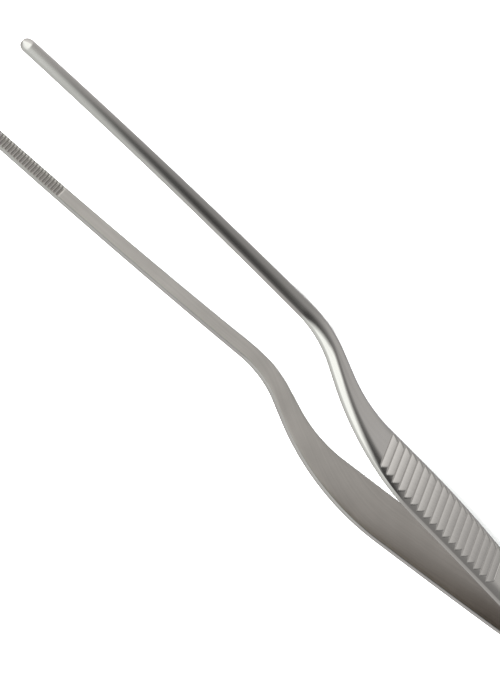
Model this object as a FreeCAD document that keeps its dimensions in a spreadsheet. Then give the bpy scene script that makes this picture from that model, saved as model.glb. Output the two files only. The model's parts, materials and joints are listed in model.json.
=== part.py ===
import FreeCAD, Part
import math
import os
import Sketcher

# Offset aquascaping tweezers, lying on their side edges.
# X runs from the welded tail to the tips, Y is the direction the arms open, Z is up.
# The two arms are mirror images. Each is a bowed strip of steel with an S-bend in its width.

SIZES = [
    ("total_length", 200.0, "tail to tips"),
    ("thickness", 1.8, "steel thickness"),
    ("bow_radius", 1165.0, "inner face of an arm, seen from its edge"),
    ("tip_half_gap", 12.4, "inner face of a tip to the middle plane, at rest"),
    ("leaf_end", 50.0, "where the spring leaf ends and the grip begins"),
    ("pivot_along", 40.0, "middle of the spring leaf"),
    ("tail_low_up", 10.95, "blank outline, heights from the heel"),
    ("tail_high_up", 18.35, "blank outline"),
    ("leaf_along", 35.0, "narrowest place of the handle"),
    ("leaf_low_up", 10.65, "blank outline"),
    ("leaf_high_up", 18.9, "blank outline"),
    ("belly_along", 73.0, "widest place of the grip, lower side"),
    ("belly_up", 8.1, "blank outline"),
    ("neck_along", 100.8, "inner corner of the S-bend"),
    ("neck_up", 8.8, "blank outline"),
    ("heel_along", 116.2, "outer corner of the S-bend, which the tweezers rest on"),
    ("tip_low_up", 1.0, "blank outline"),
    ("tip_high_up", 4.0, "blank outline"),
    ("elbow_along", 117.2, "where the shaft's upper edge leaves the S-bend"),
    ("shoulder_along", 96.0, "front end of the grip's upper edge"),
    ("shoulder_up", 20.2, "blank outline"),
    ("tail_round", 3.0, "outline corner radius"),
    ("neck_round", 24.0, "outline corner radius"),
    ("heel_round", 21.0, "outline corner radius"),
    ("tip_round", 1.45, "outline corner radius"),
    ("elbow_round", 18.0, "outline corner radius"),
    ("shoulder_round", 46.0, "outline corner radius"),
    ("bevel_depth", 0.65, "taken off the side edges of the outer face"),
    ("bevel_width", 0.9, "how far the bevel reaches onto the outer face"),
    ("groove_count", 18.0, "grip grooves on each arm"),
    ("groove_front_along", 92.0, "the groove nearest the tips"),
    ("groove_pitch", 1.92, "groove spacing"),
    ("groove_radius", 1.2, "radius of a groove's scallop"),
    ("groove_depth", 0.35, "depth of a groove"),
    ("groove_slant", 7.0, "degrees that a groove's upper end leans to the tail"),
    ("groove_middle_up", 13.8, "height of the middle of the grooves"),
    ("tooth_count", 36.0, "notches across each jaw"),
    ("tooth_pitch", 0.76, "notch spacing"),
    ("tooth_depth", 0.32, "notch depth"),
    ("tooth_slant", 7.0, "degrees that a notch's upper end leans to the tip"),
    ("tooth_middle_up", 2.5, "height of the middle of the jaw"),
    ("notch_bar_half", 0.45, "half the diagonal of the square bar that cuts a notch"),
    ("weld_count", 3.0, "spot welds in the tail"),
    ("weld_first_along", 8.0, "the weld nearest the tail's end"),
    ("weld_pitch", 7.0, "weld spacing"),
    ("weld_radius", 1.5, "weld nugget"),
    ("weld_depth", 0.6, "how far a nugget reaches into each tab"),
    ("weld_up", 14.5, "height of the welds"),
]

# Outline corners in order: name, distance along, height, corner radius.
OUTLINE = [
    ("tail_low", None, "tail_low_up", "tail_round"),
    ("leaf_low", "leaf_along", "leaf_low_up", None),
    ("belly", "belly_along", "belly_up", None),
    ("neck", "neck_along", "neck_up", "neck_round"),
    ("heel", "heel_along", None, "heel_round"),
    ("tip_low", "total_length", "tip_low_up", "tip_round"),
    ("tip_high", "total_length", "tip_high_up", "tip_round"),
    ("elbow", "elbow_along", "tip_high_up", "elbow_round"),
    ("shoulder", "shoulder_along", "shoulder_up", "shoulder_round"),
    ("leaf_high", "leaf_along", "leaf_high_up", None),
    ("tail_high", None, "tail_high_up", "tail_round"),
]

TALL = 60.0       # height of the cutting solids, taller than the blank
CUT_BASE = -15.0  # where the upright cutting solids start, below the blank
CUT_MARGIN = 1.0  # how far a cutting solid runs past what it cuts
TOLERANCE = 1e-4

doc = FreeCAD.newDocument("tweezers")
sheet = doc.addObject("Spreadsheet::Sheet", "Sizes")
for row, (alias, value, note) in enumerate(SIZES, start=1):
    sheet.set(f"A{row}", note)
    sheet.set(f"B{row}", str(value))
    sheet.setAlias(f"B{row}", alias)
doc.recompute()


def size(alias):
    return float(sheet.get(alias))


# Distance from the tail to where the two bowed faces would meet.
TAB_LENGTH = (
    "Sizes.total_length - sqrt(2 * Sizes.bow_radius * Sizes.tip_half_gap"
    " - Sizes.tip_half_gap * Sizes.tip_half_gap)"
)
BOW_CENTRE_Y = size("tip_half_gap") - size("bow_radius")
tab_length = size("total_length") - math.sqrt(
    2 * size("bow_radius") * size("tip_half_gap") - size("tip_half_gap") ** 2
)


def bow_point(along, radius):
    """Y of a bowed face of the given radius, and the face's lean there in degrees."""
    back = size("total_length") - along
    return BOW_CENTRE_Y + math.sqrt(radius**2 - back**2), math.degrees(math.asin(back / radius))


def add(kind, label, **expressions):
    made = doc.addObject(kind, label)
    made.Label = label
    for name, expression in expressions.items():
        made.setExpression(name, expression)
    return made


def place(made, x, y, z, rotation=None):
    made.Placement = FreeCAD.Placement(FreeCAD.Vector(x, y, z), rotation or FreeCAD.Rotation())
    return made


def cut(label, base, tool):
    made = add("Part::Cut", label)
    made.Base = base
    made.Tool = tool
    return made


def common(label, first, second):
    made = add("Part::MultiCommon", label)
    made.Shapes = [first, second]
    return made


def group(label, pieces):
    made = add("Part::Compound", label)
    made.Links = pieces
    return made


def blank_outline():
    """The flat blank, extruded across both arms, with its outline corners rounded."""
    body = add("PartDesign::Body", "blank")
    plane = [f for f in body.Origin.OriginFeatures if f.Role == "XZ_Plane"][0]
    sketch = body.newObject("Sketcher::SketchObject", "outline")
    sketch.AttachmentSupport = [(plane, "")]
    sketch.MapMode = "FlatFace"
    corners = [
        FreeCAD.Vector(size(along) if along else 0.0, size(up) if up else 0.0, 0)
        for _, along, up, _ in OUTLINE
    ]
    count = len(corners)
    for i in range(count):
        sketch.addGeometry(Part.LineSegment(corners[i], corners[(i + 1) % count]), False)
    for i in range(count):
        sketch.addConstraint(Sketcher.Constraint("Coincident", i, 2, (i + 1) % count, 1))
    for i, (name, along, up, _) in enumerate(OUTLINE):
        if along:
            sketch.addConstraint(Sketcher.Constraint("DistanceX", -1, 1, i, 1, size(along)))
            sketch.renameConstraint(sketch.ConstraintCount - 1, f"{name}_x")
            sketch.setExpression(f"Constraints.{name}_x", f"Sizes.{along}")
        else:
            sketch.addConstraint(Sketcher.Constraint("PointOnObject", i, 1, -2))
        if up:
            sketch.addConstraint(Sketcher.Constraint("DistanceY", -1, 1, i, 1, size(up)))
            sketch.renameConstraint(sketch.ConstraintCount - 1, f"{name}_z")
            sketch.setExpression(f"Constraints.{name}_z", f"Sizes.{up}")
        else:
            sketch.addConstraint(Sketcher.Constraint("PointOnObject", i, 1, -1))
    pad = body.newObject("PartDesign::Pad", "blank_pad")
    pad.Profile = sketch
    pad.SideType = "Symmetric"
    pad.setExpression("Length", "4 * Sizes.tip_half_gap")
    doc.recompute()
    last = pad
    for (name, _, _, radius), corner in zip(OUTLINE, corners):
        if not radius:
            continue
        edge = corner_edge(last.Shape, corner)
        rounding = body.newObject("PartDesign::Fillet", f"round_{name}")
        rounding.Base = (last, [edge])
        rounding.setExpression("Radius", f"Sizes.{radius}")
        doc.recompute()
        if rounding.Shape.isNull():
            raise RuntimeError(f"the round at {name} failed")
        last = rounding
    body.Tip = last
    return body


def corner_edge(shape, corner):
    """The edge across the blank at an outline corner."""
    for number, edge in enumerate(shape.Edges, start=1):
        ends = [v.Point for v in edge.Vertexes]
        if all(abs(p.x - corner.x) < TOLERANCE and abs(p.z - corner.y) < TOLERANCE for p in ends):
            return f"Edge{number}"
    raise RuntimeError(f"no edge at outline corner {corner}")


def bowed_strip(blank):
    """The bowed length of an arm: the blank's outline between two round faces."""
    outer = add("Part::Cylinder", "outer_bow", Radius="Sizes.bow_radius + Sizes.thickness")
    inner = add("Part::Cylinder", "inner_bow", Radius="Sizes.bow_radius")
    for made in (outer, inner):
        made.Height = TALL
        place(made, size("total_length"), BOW_CENTRE_Y, CUT_BASE)
    ring = cut("bow_ring", outer, inner)
    reach = add(
        "Part::Box",
        "strip_reach",
        Length=f"Sizes.total_length + {CUT_MARGIN} - ({TAB_LENGTH})",
        Width="2 * Sizes.tip_half_gap",
    )
    reach.Height = TALL
    place(reach, tab_length, -CUT_MARGIN, CUT_BASE)
    return common("plain_strip", common("strip_ring", ring, reach), blank)


def bevelled(strip):
    """Bevels along both side edges of the outer face."""
    doc.recompute()
    outer = size("bow_radius") + size("thickness")
    face = [
        f for f in strip.Shape.Faces
        if f.Surface.TypeId == "Part::GeomCylinder" and abs(f.Surface.Radius - outer) < TOLERANCE
    ][0]
    edges = []
    for number, edge in enumerate(strip.Shape.Edges, start=1):
        on_face = any(edge.isSame(e) for e in face.Edges)
        at_tab = all(abs(v.Point.x - tab_length) < TOLERANCE for v in edge.Vertexes)
        if on_face and not at_tab:
            edges.append((number, size("bevel_depth"), size("bevel_width")))
    made = add("Part::Chamfer", "bevelled_strip")
    made.Base = strip
    made.Edges = edges
    return made


def grip_grooves():
    outer = size("bow_radius") + size("thickness")
    grooves = []
    for i in range(int(size("groove_count"))):
        along = size("groove_front_along") - i * size("groove_pitch")
        y, lean = bow_point(along, outer)
        out = FreeCAD.Vector(-math.sin(math.radians(lean)), math.cos(math.radians(lean)), 0)
        turn = FreeCAD.Rotation(out, -size("groove_slant"))
        axis = turn.multVec(FreeCAD.Vector(0, 0, 1))
        middle = FreeCAD.Vector(along, y, size("groove_middle_up"))
        middle += out * (size("groove_radius") - size("groove_depth"))
        start = middle - axis * (TALL / 2)
        groove = add("Part::Cylinder", f"groove_{i + 1}", Radius="Sizes.groove_radius")
        groove.Height = TALL
        grooves.append(place(groove, start.x, start.y, start.z, turn))
    return group("grip_grooves", grooves)


def jaw_notches():
    """V notches across the inner face of the jaw, each cut by a square bar on its edge."""
    notches = []
    for i in range(int(size("tooth_count"))):
        along = size("total_length") - (i + 1) * size("tooth_pitch")
        y, _ = bow_point(along, size("bow_radius"))
        notch = add(
            "Part::Box",
            f"notch_{i + 1}",
            Length="Sizes.notch_bar_half * sqrt(2)",
            Width="Sizes.notch_bar_half * sqrt(2)",
        )
        notch.Height = TALL
        lean = FreeCAD.Rotation(FreeCAD.Vector(0, 1, 0), size("tooth_slant"))
        turn = lean.multiply(FreeCAD.Rotation(FreeCAD.Vector(0, 0, 1), 45))
        lowest = y + size("tooth_depth") - 2 * size("notch_bar_half")
        middle = FreeCAD.Vector(along, lowest, size("tooth_middle_up"))
        start = middle - lean.multVec(FreeCAD.Vector(0, 0, 1)) * (TALL / 2)
        notches.append(place(notch, start.x, start.y, start.z, turn))
    return group("jaw_notches", notches)


def weld_nuggets():
    """The spot welds, and the same solids again to cut their pockets in the tabs."""
    nuggets = []
    for i in range(int(size("weld_count"))):
        nugget = add(
            "Part::Cylinder",
            f"nugget_{i + 1}",
            Radius="Sizes.weld_radius",
            Height="2 * Sizes.weld_depth",
        )
        along = size("weld_first_along") + i * size("weld_pitch")
        turn = FreeCAD.Rotation(FreeCAD.Vector(1, 0, 0), -90)
        nuggets.append(place(nugget, along, -size("weld_depth"), size("weld_up"), turn))
    return group("tail_welds", nuggets), group("weld_pockets", nuggets)


def stretch_box(label, start, length, width, y):
    box = add("Part::Box", label, Length=length, Width=width)
    box.Height = TALL
    return place(box, start, y, CUT_BASE)


def corner_centre(name):
    """Centre of the round at an outline corner, as (along, up)."""
    i = [corner[0] for corner in OUTLINE].index(name)
    points = [
        FreeCAD.Vector(size(along) if along else 0.0, size(up) if up else 0.0, 0)
        for _, along, up, _ in (OUTLINE[i - 1], OUTLINE[i], OUTLINE[(i + 1) % len(OUTLINE)])
    ]
    before = (points[0] - points[1]).normalize()
    after = (points[2] - points[1]).normalize()
    middle = (before + after).normalize()
    half_angle = before.getAngle(after) / 2
    return points[1] + middle * (size(OUTLINE[i][3]) / math.sin(half_angle))


def resting_tilt():
    """Degrees about Y that put the heels and the tail's lower corner on one level."""
    heel = corner_centre("heel")
    tail = corner_centre("tail_low")
    span = heel - tail
    radius_gap = size("heel_round") - size("tail_round")
    return math.degrees(math.atan2(span.y, span.x) - math.asin(radius_gap / span.Length))


def mirrored(label, source):
    made = add("Part::Mirroring", label)
    made.Source = source
    made.Normal = FreeCAD.Vector(0, 1, 0)
    return made


blank = blank_outline()
welds, weld_pockets = weld_nuggets()
strip = cut("grooved_strip", bevelled(bowed_strip(blank)), grip_grooves())
strip = cut("serrated_strip", strip, jaw_notches())

leaf_box = stretch_box(
    "leaf_stretch", 0, "Sizes.leaf_end", "2 * Sizes.tip_half_gap", -CUT_MARGIN
)
arm_box = stretch_box(
    "arm_stretch", size("leaf_end"), "Sizes.total_length", "2 * Sizes.tip_half_gap", -CUT_MARGIN
)
tab_box = stretch_box("tab_stretch", 0, TAB_LENGTH, "Sizes.thickness", 0)

left = {
    "left_arm": common("left_arm", strip, arm_box),
    "left_spring_leaf": common("left_spring_leaf", strip, leaf_box),
    "left_tail_tab": cut("left_tail_tab", common("plain_tab", tab_box, blank), weld_pockets),
}
doc.recompute()

tilt = FreeCAD.Rotation(FreeCAD.Vector(0, 1, 0), resting_tilt())
lying = Part.makeCompound([made.Shape for made in left.values()])
lying.Placement = FreeCAD.Placement(FreeCAD.Vector(0, 0, 0), tilt)
box = lying.optimalBoundingBox(False)
move = FreeCAD.Vector(-(box.XMin + box.XMax) / 2, 0, -box.ZMin)
resting = FreeCAD.Placement(move, tilt)

pieces = [*left.values(), welds]
for made in pieces:
    made.Placement = resting.multiply(made.Placement)
for label, made in left.items():
    pieces.append(mirrored(label.replace("left", "right"), made))
doc.recompute()

for made in doc.Objects:
    if "Invalid" in made.State or "Error" in made.State:
        raise RuntimeError(f"{made.Label} failed: {made.State}")
for made in pieces:
    if made.Shape.isNull() or not made.Shape.isValid():
        raise RuntimeError(f"{made.Label} has no valid shape")

os.makedirs("parts", exist_ok=True)
for made in pieces:
    made.Shape.exportStep(f"parts/{made.Label}.step")
    found = made.Shape.optimalBoundingBox(False)
    print(
        f"{made.Label}: {len(made.Shape.Solids)} solid(s), {made.Shape.Volume:.2f} mm3,"
        f" X {found.XMin:.2f} to {found.XMax:.2f}, Y {found.YMin:.2f} to {found.YMax:.2f},"
        f" Z {found.ZMin:.2f} to {found.ZMax:.2f}"
    )

pivot_y, _ = bow_point(size("pivot_along"), size("bow_radius") + size("thickness") / 2)
pivot = resting.multVec(FreeCAD.Vector(size("pivot_along"), pivot_y, size("weld_up")))
hinge_axis = tilt.multVec(FreeCAD.Vector(0, 0, 1))
print("tilt", round(resting_tilt(), 4), "pivot", pivot, "hinge axis", hinge_axis)
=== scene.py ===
import json
import math

import bmesh
import bpy
import numpy as np
from mathutils import Matrix, Vector


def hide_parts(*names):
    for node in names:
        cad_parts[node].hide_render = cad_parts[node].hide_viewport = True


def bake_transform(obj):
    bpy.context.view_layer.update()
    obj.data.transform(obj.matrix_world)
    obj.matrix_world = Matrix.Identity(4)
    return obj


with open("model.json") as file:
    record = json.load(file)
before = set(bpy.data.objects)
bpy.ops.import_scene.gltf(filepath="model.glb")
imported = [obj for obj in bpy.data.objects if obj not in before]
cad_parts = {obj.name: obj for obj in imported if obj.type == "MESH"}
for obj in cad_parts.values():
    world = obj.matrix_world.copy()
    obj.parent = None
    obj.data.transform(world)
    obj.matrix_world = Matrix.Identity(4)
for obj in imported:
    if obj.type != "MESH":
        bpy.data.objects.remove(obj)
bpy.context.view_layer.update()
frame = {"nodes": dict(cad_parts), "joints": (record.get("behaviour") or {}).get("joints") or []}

# ---------------------------------------------------------------- sizes of a strip, in millimetres
# Each arm is one bowed strip. Its own axes are: along from the tail's end to the tip, out from the
# middle plane, and up from the heel that the tweezers rest on.

MM = 0.001
LENGTH = 200.0
BOW_RADIUS = 1165.0
TIP_HALF_GAP = 12.4
TAB_END = LENGTH - math.sqrt(2 * BOW_RADIUS * TIP_HALF_GAP - TIP_HALF_GAP**2)
TAB_BEND_RADIUS = 60.0
PIVOT_ALONG = 40.0
PIVOT_UP = 14.5

TAIL_LOW, TAIL_HIGH, TAIL_ROUND = 10.95, 18.35, 3.0
TIP_LOW, TIP_HIGH, TIP_ROUND = 1.0, 4.0, 1.45

# Outline corners: along, up, radius of the round.
LOW_EDGE = [
    (0.0, TAIL_HIGH, 0.0),
    (0.0, TAIL_LOW, TAIL_ROUND),
    (35.0, 10.65, 40.0),
    (73.0, 8.1, 200.0),
    (100.8, 8.8, 24.0),
    (116.2, 0.0, 21.0),
    (LENGTH, TIP_LOW, TIP_ROUND),
    (LENGTH, TIP_HIGH, 0.0),
]
HIGH_EDGE = [
    (0.0, TAIL_LOW, 0.0),
    (0.0, TAIL_HIGH, TAIL_ROUND),
    (35.0, 18.9, 40.0),
    (96.0, 20.2, 46.0),
    (117.2, TIP_HIGH, 18.0),
    (LENGTH, TIP_HIGH, TIP_ROUND),
    (LENGTH, TIP_LOW, 0.0),
]

SIDE_HEIGHT = 1.0        # flat side edge, from the inner face to the rounded bevel
CROWN = 0.8              # from the side edge up to the outer face
BEVEL_WIDTH = 2.5        # of the rounded bevel, where the strip is wide enough for two of them
EDGE_RADIUS = 0.15       # of the inner face's edges
TIP_ROUNDING = 2.0       # length over which the tip's thickness rounds off
TIP_LOSS = 0.65          # share of the squared thickness that its very end loses

GROOVES, GROOVE_FRONT, GROOVE_PITCH = 18, 92.96, 1.92
GROOVE_DEPTH, GROOVE_STEP = 0.45, 0.18   # depth, and the share of the pitch in which it falls
GROOVE_CREST = 0.1       # share of the depth that is left at a crest
GROOVE_SLANT, GROOVE_MIDDLE_UP = math.radians(7.0), 13.8
SLANT_FROM, SLANT_TO, SLANT_FADE = 52.0, 102.0, 6.0   # where the section leans with the grooves
NO_GROOVE = 99.0         # a height above every surface
TEETH, TOOTH_PITCH, TOOTH_DEPTH = 36, 0.76, 0.32
TOOTH_SLANT, TOOTH_MIDDLE_UP = math.radians(7.0), 2.5
JAW_START = LENGTH - (TEETH + 0.5) * TOOTH_PITCH
JAW_SLANT_LENGTH, JAW_FADE, JAW_TIP_FADE = 32.0, 3.0, 1.0   # where the section leans with the teeth


def smooth(t):
    t = np.clip(t, 0.0, 1.0)
    return t * t * (3 - 2 * t)


# ---------------------------------------------------------------- the strip's place in the frame

left_joint = [j for j in frame["joints"] if j["child"] == "left_arm"][0]
hinge_axis = Vector(left_joint["axis"])
TILT = math.atan2(hinge_axis.x, hinge_axis.z) + (math.pi if hinge_axis.z < 0 else 0.0)
TILT_MATRIX = Matrix.Rotation(TILT, 3, "Y")


def bow(along):
    """Height of the inner face above the middle plane."""
    along = np.asarray(along, float)
    back = LENGTH - along
    arc = TIP_HALF_GAP - BOW_RADIUS + np.sqrt(BOW_RADIUS**2 - back**2)
    lean = (LENGTH - TAB_END) / BOW_RADIUS
    reach = TAB_BEND_RADIUS * lean / 2
    bend = np.clip(along - (TAB_END - reach), 0, None) ** 2 / (2 * TAB_BEND_RADIUS)
    return np.where(along < TAB_END + reach, bend, arc)


PIVOT_OUT = abs(left_joint["pos_m"][1]) / MM
ORIGIN = Vector(left_joint["pos_m"]) - TILT_MATRIX @ (Vector((PIVOT_ALONG, PIVOT_OUT, PIVOT_UP)) * MM)


def place(along, out, up):
    """A strip point in the shared frame, in metres."""
    return ORIGIN + TILT_MATRIX @ (Vector((along, out, up)) * MM)


# ---------------------------------------------------------------- outline

def rounds_of(corners):
    """The arc at each rounded corner: first and last place along, centre, radius and side."""
    arcs = []
    for before, corner, after in zip(corners, corners[1:], corners[2:]):
        radius = corner[2]
        if not radius:
            continue
        at = Vector(corner[:2])
        to_before = (Vector(before[:2]) - at).normalized()
        to_after = (Vector(after[:2]) - at).normalized()
        half = to_before.angle(to_after) / 2
        reach = radius / math.tan(half)
        centre = at + (to_before + to_after).normalized() * (radius / math.sin(half))
        ends = sorted([(at + to_before * reach).x, (at + to_after * reach).x])
        arcs.append((ends[0], ends[1], centre, radius, 1.0 if at.y > centre.y else -1.0))
    return arcs


def edge_height(along, corners):
    xs = [c[0] for c in corners[1:-1]]
    ys = [c[1] for c in corners[1:-1]]
    height = np.interp(along, xs, ys)
    for first, last, centre, radius, side in rounds_of(corners):
        inside = (along >= first) & (along <= last)
        arc = centre.y + side * np.sqrt(np.clip(radius**2 - (along - centre.x) ** 2, 0, None))
        height = np.where(inside, arc, height)
    return height


# ---------------------------------------------------------------- section

def stations():
    """Places along the strip, closer together where the surface has fine detail."""
    groove_end = GROOVE_FRONT - GROOVES * GROOVE_PITCH
    spans = [
        (0.0, 0.4, 0.04),
        (0.4, 3.0, 0.2),
        (3.0, groove_end - 2.0, 0.8),
        (groove_end - 2.0, GROOVE_FRONT + 2.0, GROOVE_PITCH / 20),
        (GROOVE_FRONT + 2.0, 130.0, 0.4),
        (130.0, JAW_START, 1.0),
        (JAW_START, LENGTH - 1.5, TOOTH_PITCH / 8),
        (LENGTH - 1.5, LENGTH - 0.2, 0.05),
        (LENGTH - 0.2, LENGTH, 0.02),
    ]
    pieces = [np.arange(a, b, step) for a, b, step in spans]
    return np.append(np.concatenate(pieces), LENGTH)


def grooves(along, up, top):
    """Height of the grooved surface where a groove is, and very high elsewhere.

    Each groove falls in a steep step at its front, then rises in a hollow curve to the next crest.
    """
    slanted = along + (up - GROOVE_MIDDLE_UP) * math.tan(GROOVE_SLANT)
    place_in_row = (GROOVE_FRONT - slanted) / GROOVE_PITCH
    share = place_in_row - np.floor(place_in_row)
    fall = GROOVE_CREST + (1 - GROOVE_CREST) * share / GROOVE_STEP
    risen = (share - GROOVE_STEP) / (1 - GROOVE_STEP)
    rise = 1 - risen + GROOVE_CREST * risen**2
    surface = top - GROOVE_DEPTH * np.where(share < GROOVE_STEP, fall, rise)
    return np.where((place_in_row >= 0) & (place_in_row < GROOVES), surface, NO_GROOVE)


def teeth(along):
    """Depth of the notches across the jaw."""
    number = np.clip(np.round((LENGTH - along) / TOOTH_PITCH), 1, TEETH)
    off = np.abs(along - (LENGTH - number * TOOTH_PITCH))
    return np.clip(TOOTH_DEPTH - off, 0, None)


BEVEL_STEPS = 12
MIDDLE_STEPS = 12
INNER_STEPS = 8
CORNER_STEPS = 4
BEVEL_CROWDING = 1.3     # above 1, the bevel's points stand closer together at its outer edge


def section_steps():
    """Places across the outer face: share of the bevel from each side, and share of the middle."""
    side = np.linspace(0.0, 1.0, BEVEL_STEPS + 1) ** BEVEL_CROWDING
    middle = np.linspace(0.0, 1.0, MIDDLE_STEPS + 1)[1:-1]
    return side, middle


def bevel_rise(share, bevel):
    """Height gained at a share of the rounded bevel, an arc that meets the outer face smoothly."""
    radius = (bevel**2 + CROWN**2) / (2 * CROWN)
    return np.sqrt(radius**2 - ((1 - share) * bevel) ** 2) - radius + CROWN


def rounded_corner(radius):
    """Points of a quarter round, as (up from the corner, out from the corner)."""
    turns = np.linspace(0, math.pi / 2, CORNER_STEPS + 1)
    return [(radius * (1 - math.cos(t)), radius * (1 - math.sin(t))) for t in turns]


def strip_vertices():
    """Rings of (along, out, up) round the strip, one for each station."""
    side, middle = section_steps()
    rings = []
    for along in stations():
        low = float(edge_height(np.array([along]), LOW_EDGE)[0])
        high = float(edge_height(np.array([along]), HIGH_EDGE)[0])
        width = high - low
        bevel = min(BEVEL_WIDTH, width / 2)
        across = np.concatenate([
            low + side * bevel,
            low + bevel + middle * (width - 2 * bevel),
            (high - side * bevel)[::-1],
        ])
        # Shear the ring so that its points follow the grooves' slant.
        zone = smooth((along - SLANT_FROM) / SLANT_FADE) * smooth((SLANT_TO - along) / SLANT_FADE)
        at = along - zone * (across - GROOVE_MIDDLE_UP) * math.tan(GROOVE_SLANT)
        low_at = edge_height(at, LOW_EDGE)
        high_at = edge_height(at, HIGH_EDGE)
        up = low_at + (across - low) / max(width, 1e-6) * (high_at - low_at)
        near = np.clip(np.minimum(up - low_at, high_at - up) / max(bevel, 1e-6), 0, 1)
        near_tip = max(0.0, 1 - (LENGTH - along) / TIP_ROUNDING)
        end_round = math.sqrt(1 - TIP_LOSS * near_tip**2)
        thick = (SIDE_HEIGHT + bevel_rise(near, bevel)) * end_round
        if along < GROOVE_FRONT + 2 * GROOVE_PITCH:
            thick = np.minimum(thick, grooves(at, up, SIDE_HEIGHT + CROWN))
        outer = np.stack([at, bow(at) + thick, up], 1)

        corner = rounded_corner(min(EDGE_RADIUS, width / 4))
        base = float(bow(along))
        inner_up = np.linspace(high - corner[-1][0], low + corner[-1][0], INNER_STEPS + 1)[1:-1]
        slant_start = LENGTH - JAW_SLANT_LENGTH
        jaw = smooth((LENGTH - along) / JAW_TIP_FADE) * smooth((along - slant_start) / JAW_FADE)
        inner_at = along + jaw * (inner_up - TOOTH_MIDDLE_UP) * math.tan(TOOTH_SLANT)
        inner_out = bow(inner_at) + float(teeth(np.array([along]))[0])
        inner = np.stack([inner_at, inner_out, inner_up], 1)
        high_side = np.array([[along, base + out, high - back] for back, out in corner])
        low_side = np.array([[along, base + out, low + back] for back, out in reversed(corner)])
        rings.append(np.concatenate([outer, high_side, inner, low_side]))
    return np.array(rings)


SATIN_SLOT, BRUSHED_SLOT, CUT_PAINTED_SHADE_SLOT = 0, 1, 2


def make_strip(name, sign):
    """One arm's whole strip: satin outside, brushed flat inside, and cut edges and teeth in a darker
    colour that is painted shade.
    """
    rings = strip_vertices()
    count, points = rings.shape[:2]
    mesh = bpy.data.meshes.new(name)
    work = bmesh.new()
    uv = work.loops.layers.uv.new("strip")
    verts = [
        [work.verts.new(place(p[0], sign * p[1], p[2])) for p in ring]
        for ring in rings
    ]
    closed = np.concatenate([rings, rings[:, :1]], axis=1)
    steps = np.linalg.norm(np.diff(closed, axis=1), axis=2)
    around = np.concatenate([np.zeros((count, 1)), np.cumsum(steps, axis=1)], axis=1)
    inner_last = points - 1
    inner_first = inner_last - 2 * CORNER_STEPS - INNER_STEPS
    for i in range(count - 1):
        for j in range(points):
            corners = [(i, j), (i, j + 1), (i + 1, j + 1), (i + 1, j)]
            if sign > 0:
                corners.reverse()
            face = work.faces.new([verts[a][b % points] for a, b in corners])
            face.smooth = True
            face.material_index = SATIN_SLOT
            # The inner face's rounded edges and the teeth get the darker cut material: painted shade
            # that dims the edges' highlight line and darkens the notched jaw.
            if inner_first <= j < inner_last:
                flat = inner_first + CORNER_STEPS <= j < inner_last - CORNER_STEPS
                brushed = flat and rings[i][0][0] <= JAW_START
                face.material_index = BRUSHED_SLOT if brushed else CUT_PAINTED_SHADE_SLOT
            for loop, (a, b) in zip(face.loops, corners):
                loop[uv].uv = (closed[a][b][0] * MM, around[a][b] * MM)
    for i in (0, count - 1):
        work.faces.new(verts[i])
    bmesh.ops.remove_doubles(work, verts=work.verts, dist=1e-7)
    bmesh.ops.recalc_face_normals(work, faces=work.faces)
    work.to_mesh(mesh)
    work.free()
    made = bpy.data.objects.new(name, mesh)
    bpy.context.scene.collection.objects.link(made)
    return made


# ---------------------------------------------------------------- materials

PAINTED_SHADE_FULL, PAINTED_SHADE_END = 45.0, 135.0   # along the strip: the tail's painted shade up to here, none from there
FINE_LINES, COARSE_LINES = (90.0, 6000.0), (40.0, 1500.0)   # noise scale along and across the strip
BLOTCH_SCALE = 140.0
UNEVEN_LOW, UNEVEN_HIGH = 0.7, 1.3   # range of the two noises' sum that the blotches use


def math_node(tree, operation, *values):
    """A Math node with each value set, or linked if it is another node's output."""
    made = tree.nodes.new("ShaderNodeMath")
    made.operation = operation
    for socket, value in zip(made.inputs, values):
        if isinstance(value, float):
            socket.default_value = value
        else:
            tree.links.new(value, socket)
    return made.outputs["Value"]


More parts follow.
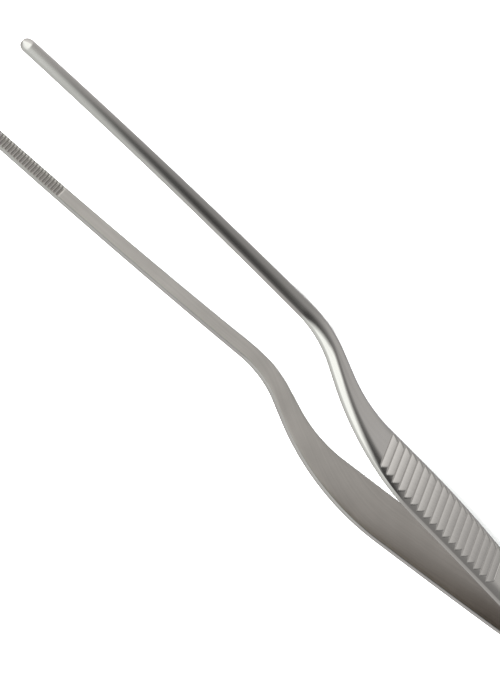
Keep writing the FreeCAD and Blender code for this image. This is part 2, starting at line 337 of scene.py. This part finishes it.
def steel(name, colour, tail_colour_with_painted_shade, roughness, gloss_change, blotch, line_depth=0.0):
    """Stainless steel, brushed along the strip, blotched, and of another colour at the tail, which on
    the brushed and cut faces is painted shade.
    """
    made = bpy.data.materials.new(name)
    made.use_nodes = True
    nodes, links = made.node_tree.nodes, made.node_tree.links
    shader = nodes["Principled BSDF"]
    shader.inputs["Metallic"].default_value = 1.0
    where = nodes.new("ShaderNodeUVMap")
    where.uv_map = "strip"

    def brushing(lines_along, lines_across):
        stretch = nodes.new("ShaderNodeMapping")
        stretch.inputs["Scale"].default_value = (lines_along, lines_across, 1.0)
        links.new(where.outputs["UV"], stretch.inputs["Vector"])
        noise = nodes.new("ShaderNodeTexNoise")
        noise.inputs["Scale"].default_value = 1.0
        noise.inputs["Detail"].default_value = 3.0
        links.new(stretch.outputs["Vector"], noise.inputs["Vector"])
        return noise.outputs["Fac"]

    fine = brushing(*FINE_LINES)
    coarse = brushing(*COARSE_LINES)
    place_in_object = nodes.new("ShaderNodeTexCoord")
    blotches = nodes.new("ShaderNodeTexNoise")
    blotches.inputs["Scale"].default_value = BLOTCH_SCALE
    blotches.inputs["Detail"].default_value = 4.0
    links.new(place_in_object.outputs["Object"], blotches.inputs["Vector"])
    uneven = math_node(made.node_tree, "ADD", coarse, blotches.outputs["Fac"])
    spread = nodes.new("ShaderNodeMapRange")
    spread.inputs["From Min"].default_value = UNEVEN_LOW
    spread.inputs["From Max"].default_value = UNEVEN_HIGH
    links.new(uneven, spread.inputs["Value"])
    split = nodes.new("ShaderNodeSeparateXYZ")
    links.new(where.outputs["UV"], split.inputs["Vector"])
    # Painted shade: the colour turns darker towards the tail, standing in for the dark reflection of
    # the other arm close beside it.
    painted_shade_from_tail = nodes.new("ShaderNodeMapRange")
    painted_shade_from_tail.inputs["From Min"].default_value = PAINTED_SHADE_FULL * MM
    painted_shade_from_tail.inputs["From Max"].default_value = PAINTED_SHADE_END * MM
    links.new(split.outputs["X"], painted_shade_from_tail.inputs["Value"])

    def shade(change):
        mix = nodes.new("ShaderNodeMix")
        mix.data_type = "RGBA"
        mix.inputs["A"].default_value = (*[c * change for c in tail_colour_with_painted_shade], 1.0)
        mix.inputs["B"].default_value = (*[c * change for c in colour], 1.0)
        links.new(painted_shade_from_tail.outputs["Result"], mix.inputs["Factor"])
        return mix.outputs["Result"]

    tint = nodes.new("ShaderNodeMix")
    tint.data_type = "RGBA"
    links.new(shade(1 - blotch), tint.inputs["A"])
    links.new(shade(1 + blotch), tint.inputs["B"])
    links.new(spread.outputs["Result"], tint.inputs["Factor"])
    links.new(tint.outputs["Result"], shader.inputs["Base Color"])
    gloss = nodes.new("ShaderNodeMapRange")
    gloss.inputs["To Min"].default_value = roughness - gloss_change
    gloss.inputs["To Max"].default_value = roughness + gloss_change
    links.new(fine, gloss.inputs["Value"])
    links.new(gloss.outputs["Result"], shader.inputs["Roughness"])
    if line_depth:
        bump = nodes.new("ShaderNodeBump")
        bump.inputs["Strength"].default_value = 1.0
        bump.inputs["Distance"].default_value = line_depth
        links.new(fine, bump.inputs["Height"])
        links.new(bump.outputs["Normal"], shader.inputs["Normal"])
    return made


FLOOR_DARK, FLOOR_PALE = (0.93, 0.93, 0.93), (0.95, 0.95, 0.95)
FLOOR_SPECKLE = 30.0


def floor_material():
    made = bpy.data.materials.new("floor")
    made.use_nodes = True
    nodes, links = made.node_tree.nodes, made.node_tree.links
    shader = nodes["Principled BSDF"]
    shader.inputs["Roughness"].default_value = 0.9
    shader.inputs["Specular IOR Level"].default_value = 0.1
    speckle = nodes.new("ShaderNodeTexNoise")
    speckle.inputs["Scale"].default_value = FLOOR_SPECKLE
    tint = nodes.new("ShaderNodeMix")
    tint.data_type = "RGBA"
    tint.inputs["A"].default_value = (*FLOOR_DARK, 1.0)
    tint.inputs["B"].default_value = (*FLOOR_PALE, 1.0)
    links.new(speckle.outputs["Fac"], tint.inputs["Factor"])
    links.new(tint.outputs["Result"], shader.inputs["Base Color"])
    return made


# ---------------------------------------------------------------- camera, light and floor

# All in the strip's own axes.
CAMERA_DISTANCE = 0.618
CAMERA_AZIMUTH = 15.33
CAMERA_ELEVATION = 40.84
CAMERA_ROLL = 147.9
CAMERA_LENS = 159.4
CAMERA_TARGET = (124.79, 0.7, 9.95)


def make_camera():
    azimuth, elevation, roll = (
        math.radians(a) for a in (CAMERA_AZIMUTH, CAMERA_ELEVATION, CAMERA_ROLL)
    )
    back = Vector((
        math.sin(azimuth) * math.cos(elevation),
        -math.cos(azimuth) * math.cos(elevation),
        math.sin(elevation),
    ))
    level_right = Vector((math.cos(azimuth), math.sin(azimuth), 0))
    level_up = back.cross(level_right)
    up = level_up * math.cos(roll) + level_right * math.sin(roll)
    right = up.cross(back)
    right, up, back = (TILT_MATRIX @ v for v in (right, up, back))
    data = bpy.data.cameras.new("camera")
    data.lens = CAMERA_LENS
    data.clip_start, data.clip_end = 0.01, 20.0
    made = bpy.data.objects.new("camera", data)
    bpy.context.scene.collection.objects.link(made)
    turn = Matrix((right, up, back)).transposed()
    made.matrix_world = Matrix.Translation(
        place(*CAMERA_TARGET) + back * CAMERA_DISTANCE
    ) @ turn.to_4x4()
    bpy.context.scene.camera = made


LIGHT_DISTANCE, LIGHT_SIZE = 1.2, 1.0
FLOOR_HALF = 3.0


def area_light(name, direction, power):
    """A soft square lamp that faces the middle. The steel shows the studio instead of it."""
    data = bpy.data.lights.new(name, "AREA")
    data.shape = "SQUARE"
    data.size = LIGHT_SIZE
    data.energy = power
    made = bpy.data.objects.new(name, data)
    bpy.context.scene.collection.objects.link(made)
    towards = Vector(direction).normalized()
    made.location = towards * LIGHT_DISTANCE
    made.visible_glossy = False
    made.rotation_mode = "QUATERNION"
    made.rotation_quaternion = towards.to_track_quat("Z", "Y")


LAMP = 1.55
LAMP_TINT = (0.955, 1.00, 0.99)
LAMP_BRIGHTER_THAN, LAMP_ABOVE = 0.7, -20   # brightness and degrees from which a stop has the tint

# The studio as the steel sees it: degrees up from straight out of the right arm, and how bright it
# is there. It has four sections along the tweezers: beside the grip, beside the shaft where a dark
# card stands, beside the tips, and past them where the lamp is.
BESIDE_GRIP = [
    (-180, 0.55), (-110, 0.20), (-90, 0.54), (-45, 0.60),
    (-10, 0.30), (15, 0.26), (55, 0.45), (180, 0.55),
]
BESIDE_SHAFT = [
    (-180, 0.55), (-115, 0.42), (-40, 0.33), (-5, 0.10),
    (20, 0.05), (70, 0.40), (140, 0.60), (180, 0.55),
]
BESIDE_TIPS = [
    (-180, 0.55), (-115, 0.66), (-45, 0.54), (-20, 0.58), (25, 0.82), (140, 0.72), (180, 0.55),
]
PAST_TIPS = [
    (-180, 0.55), (-80, 0.72), (-30, 1.10), (-15, LAMP), (30, LAMP), (100, 0.90), (180, 0.55),
]
SHAFT_TURN = (-0.37, -0.275)    # along-direction where the grip's section gives way to the shaft's,
TIPS_TURN = (-0.175, -0.075)    # the shaft's to the tips',
PAST_TURN = (-0.09, 0.06)       # and the tips' to the one past them
CARD_LEAN = 0.055               # how much further back these edges lean, for each unit up


def make_world():
    world = bpy.data.worlds.new("studio")
    bpy.context.scene.world = world
    world.use_nodes = True
    tree = world.node_tree
    nodes, links = tree.nodes, tree.links
    where = nodes.new("ShaderNodeTexCoord")
    split = nodes.new("ShaderNodeSeparateXYZ")
    links.new(where.outputs["Generated"], split.inputs["Vector"])
    x, y, z = (split.outputs[axis] for axis in "XYZ")
    outward = math_node(tree, "MULTIPLY", y, -1.0)
    turned = nodes.new("ShaderNodeMapRange")
    turned.inputs["From Min"].default_value = -math.pi
    turned.inputs["From Max"].default_value = math.pi
    links.new(math_node(tree, "ARCTAN2", z, outward), turned.inputs["Value"])
    above = math_node(tree, "MAXIMUM", z, 0.0)
    along = math_node(tree, "MULTIPLY_ADD", z, -math.tan(TILT), x)
    leaning = math_node(tree, "MULTIPLY_ADD", above, CARD_LEAN, along)

    def section(stops_wanted):
        ramp = nodes.new("ShaderNodeValToRGB")
        stops = ramp.color_ramp.elements
        stops.remove(stops[-1])
        for number, (degrees, bright) in enumerate(stops_wanted):
            stop = stops[0] if number == 0 else stops.new(1.0)
            stop.position = (degrees + 180) / 360
            lamp = bright > LAMP_BRIGHTER_THAN and degrees > LAMP_ABOVE
            tint = LAMP_TINT if lamp else (1.0, 1.0, 1.0)
            stop.color = (*[bright * part for part in tint], 1.0)
        links.new(turned.outputs["Result"], ramp.inputs["Fac"])
        return ramp.outputs["Color"]

    def turning(first, second, span):
        share = nodes.new("ShaderNodeMapRange")
        share.interpolation_type = "SMOOTHSTEP"
        share.inputs["From Min"].default_value, share.inputs["From Max"].default_value = span
        links.new(leaning, share.inputs["Value"])
        mix = nodes.new("ShaderNodeMix")
        mix.data_type = "RGBA"
        links.new(share.outputs["Result"], mix.inputs["Factor"])
        links.new(first, mix.inputs["A"])
        links.new(second, mix.inputs["B"])
        return mix.outputs["Result"]

    seen = turning(section(BESIDE_GRIP), section(BESIDE_SHAFT), SHAFT_TURN)
    seen = turning(seen, section(BESIDE_TIPS), TIPS_TURN)
    seen = turning(seen, section(PAST_TIPS), PAST_TURN)
    links.new(seen, nodes["Background"].inputs["Color"])


def make_floor():
    work = bmesh.new()
    bmesh.ops.create_grid(work, x_segments=8, y_segments=8, size=FLOOR_HALF)
    mesh = bpy.data.meshes.new("floor")
    work.to_mesh(mesh)
    work.free()
    made = bpy.data.objects.new("floor", mesh)
    bpy.context.scene.collection.objects.link(made)
    made.data.materials.append(floor_material())
    made.visible_glossy = False


# ---------------------------------------------------------------- making

make_camera()
make_world()
make_floor()
area_light("key", (0.3, -0.5, 1.0), power=26.0)
area_light("fill", (-0.6, 0.8, 0.7), power=20.0)

SATIN_COLOUR = (0.630, 0.605, 0.575)
SATIN = steel(
    "satin_steel", SATIN_COLOUR, SATIN_COLOUR,
    roughness=0.12, gloss_change=0.01, blotch=0.03, line_depth=1e-7,
)
# The brushed face's tail colour is painted shade: darker and browner where the inner face reflects
# the other arm.
BRUSHED_COLOUR, BRUSHED_PAINTED_SHADE_TAIL = (0.640, 0.609, 0.568), (0.375, 0.342, 0.314)
BRUSHED = steel(
    "brushed_steel", BRUSHED_COLOUR, BRUSHED_PAINTED_SHADE_TAIL,
    roughness=0.34, gloss_change=0.05, blotch=0.08, line_depth=1.5e-6,
)
# Painted shade: the cut edges and teeth are coloured darker than the steel, dimming the edges'
# highlight and the jaw, and darker still towards the tail.
CUT_PAINTED_SHADE_COLOUR, CUT_PAINTED_SHADE_TAIL = (0.425, 0.404, 0.377), (0.210, 0.199, 0.187)
CUT_PAINTED_SHADE = steel("cut_steel_painted_shade", CUT_PAINTED_SHADE_COLOUR, CUT_PAINTED_SHADE_TAIL, roughness=0.34, gloss_change=0.05, blotch=0.03)
WELD_COLOUR = (0.50, 0.49, 0.48)
WELD = steel(
    "weld_metal", WELD_COLOUR, WELD_COLOUR, roughness=0.4, gloss_change=0.05, blotch=0.05,
)

for side, sign in (("left", 1), ("right", -1)):
    arm = make_strip(f"{side}_strip", sign)
    for material in (SATIN, BRUSHED, CUT_PAINTED_SHADE):
        arm.data.materials.append(material)
    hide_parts(f"{side}_arm", f"{side}_spring_leaf", f"{side}_tail_tab")
    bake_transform(arm)

weld_materials = frame["nodes"]["tail_welds"].data.materials
weld_materials.clear()
weld_materials.append(WELD)

bpy.context.scene.view_settings.view_transform = "Standard"
